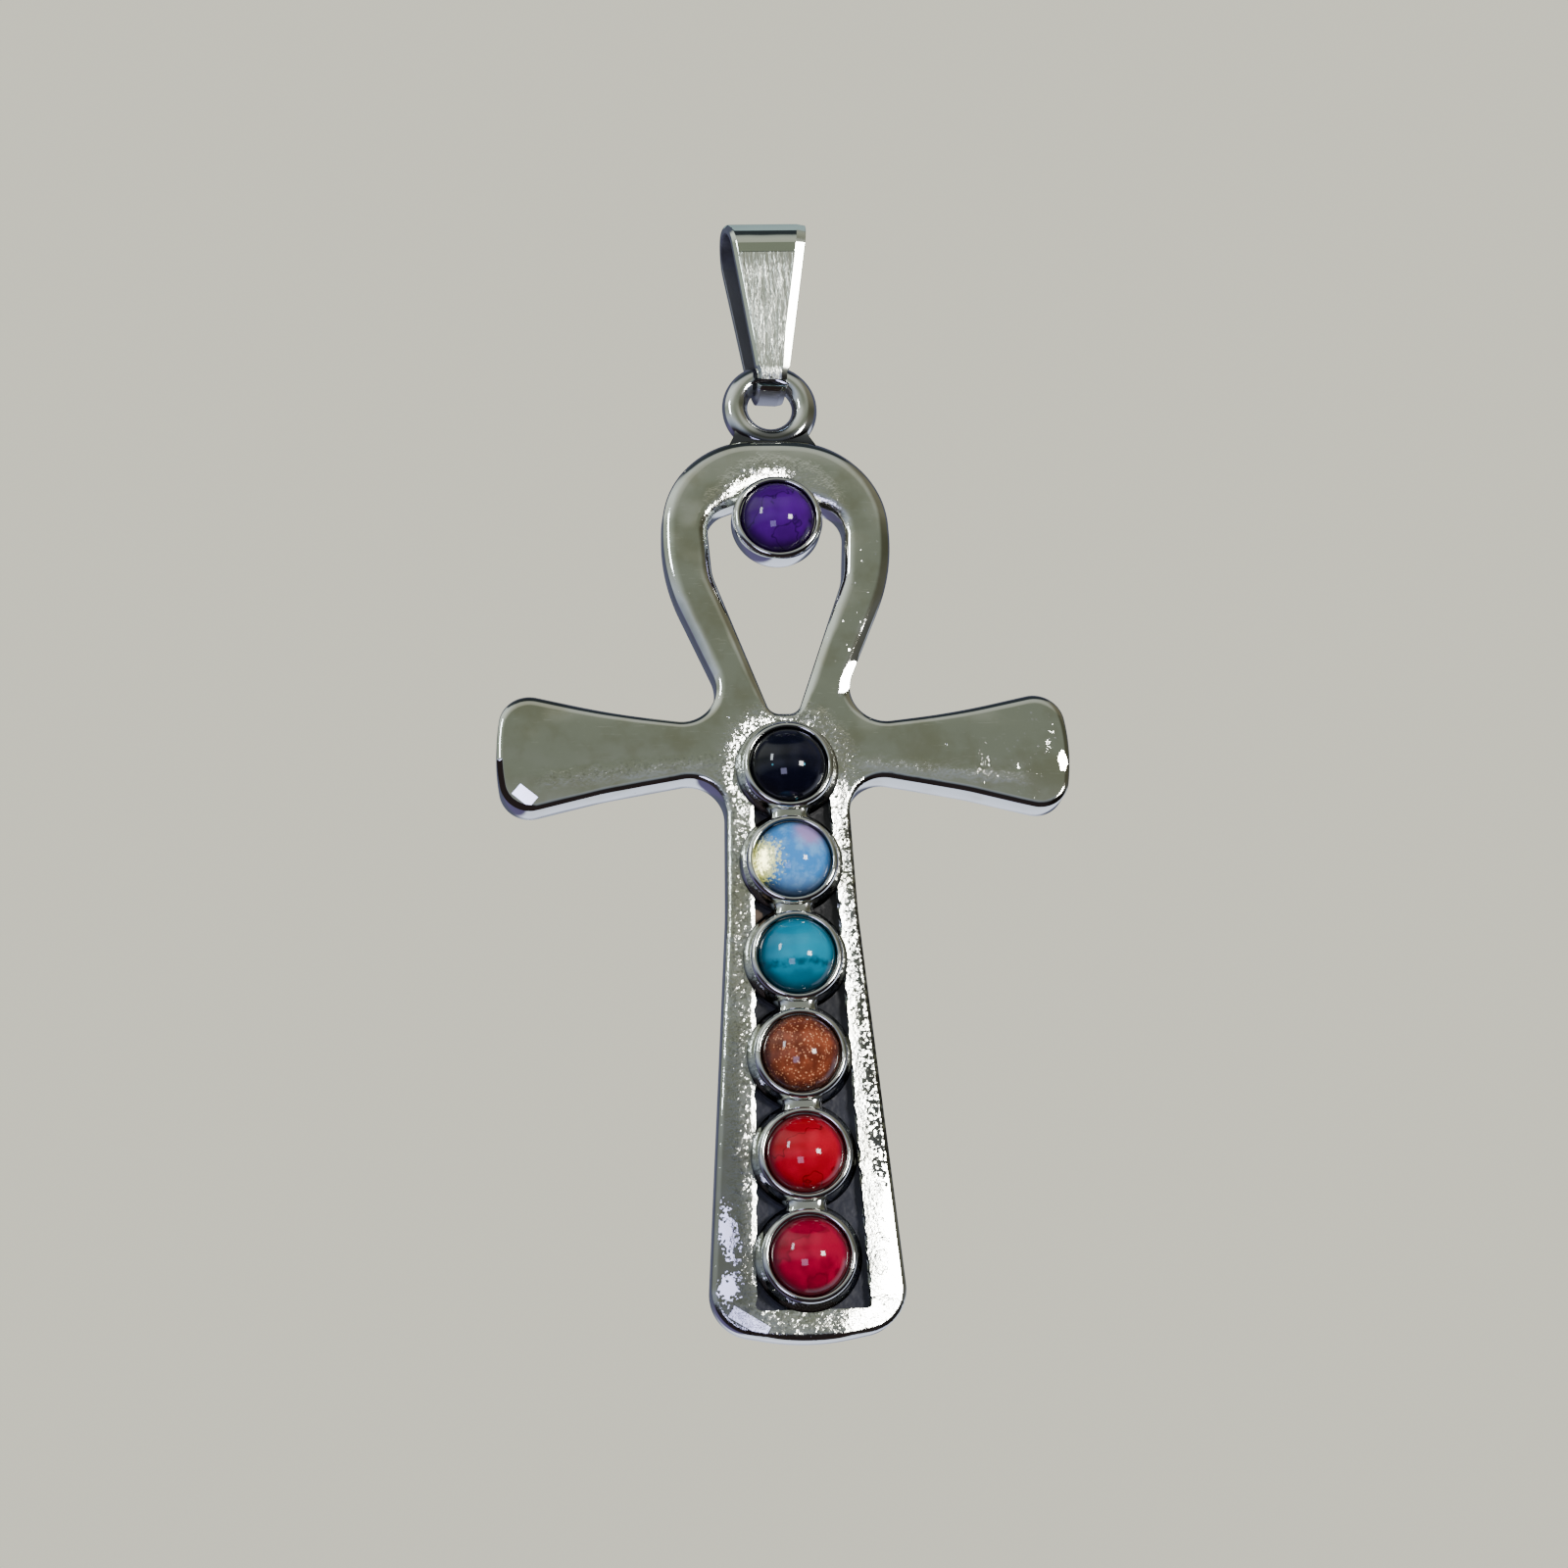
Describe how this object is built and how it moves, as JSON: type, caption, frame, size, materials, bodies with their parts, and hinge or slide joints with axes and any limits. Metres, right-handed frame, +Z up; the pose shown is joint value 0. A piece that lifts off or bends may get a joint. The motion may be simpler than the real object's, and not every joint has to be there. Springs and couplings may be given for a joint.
{
  "type": "ankh pendant",
  "caption": "Cast steel ankh pendant set with coloured round cabochons down its stem, hung by an eye from a folded tapered bail.",
  "frame": {"origin": "inside of the bail's top fold, in the middle of its width, where a chain bears", "axes": "+Z up, the way the pendant hangs; the front faces -Y; +X to the right as seen from the front"},
  "size_m": [0.0284, 0.0049, 0.0584],
  "materials": {
    "steel": "cast stainless steel, polished, grainy beside the stones",
    "bail_steel": "brushed along the strip, with polished bevels",
    "enamel": "dark enamel, slightly matt",
    "purple": "polished, deep violet",
    "black": "polished, near black with a blue cast",
    "opal": "polished, milky pale blue",
    "turquoise": "polished, dark veins",
    "goldstone": "polished, copper glitter",
    "red": "polished, bright red with fine veins",
    "crimson": "polished, deep red with dark patches"
  },
  "bodies": {
    "bail": {"bail": "bail_steel"},
    "ankh": {"ankh_body": "steel", "channel_enamel": "enamel", "stone_purple": "purple", "stone_black": "black", "stone_opal": "opal", "stone_turquoise": "turquoise", "stone_goldstone": "goldstone", "stone_red": "red", "stone_crimson": "crimson"}
  },
  "joints": [
    {"name": "ankh_swing", "type": "hinge", "parent": "bail", "child": "ankh", "pos_m": [0, 0, -0.00794], "axis": [0.9962, 0.0872, 0], "range_deg": [-60, 60]}
  ]
}
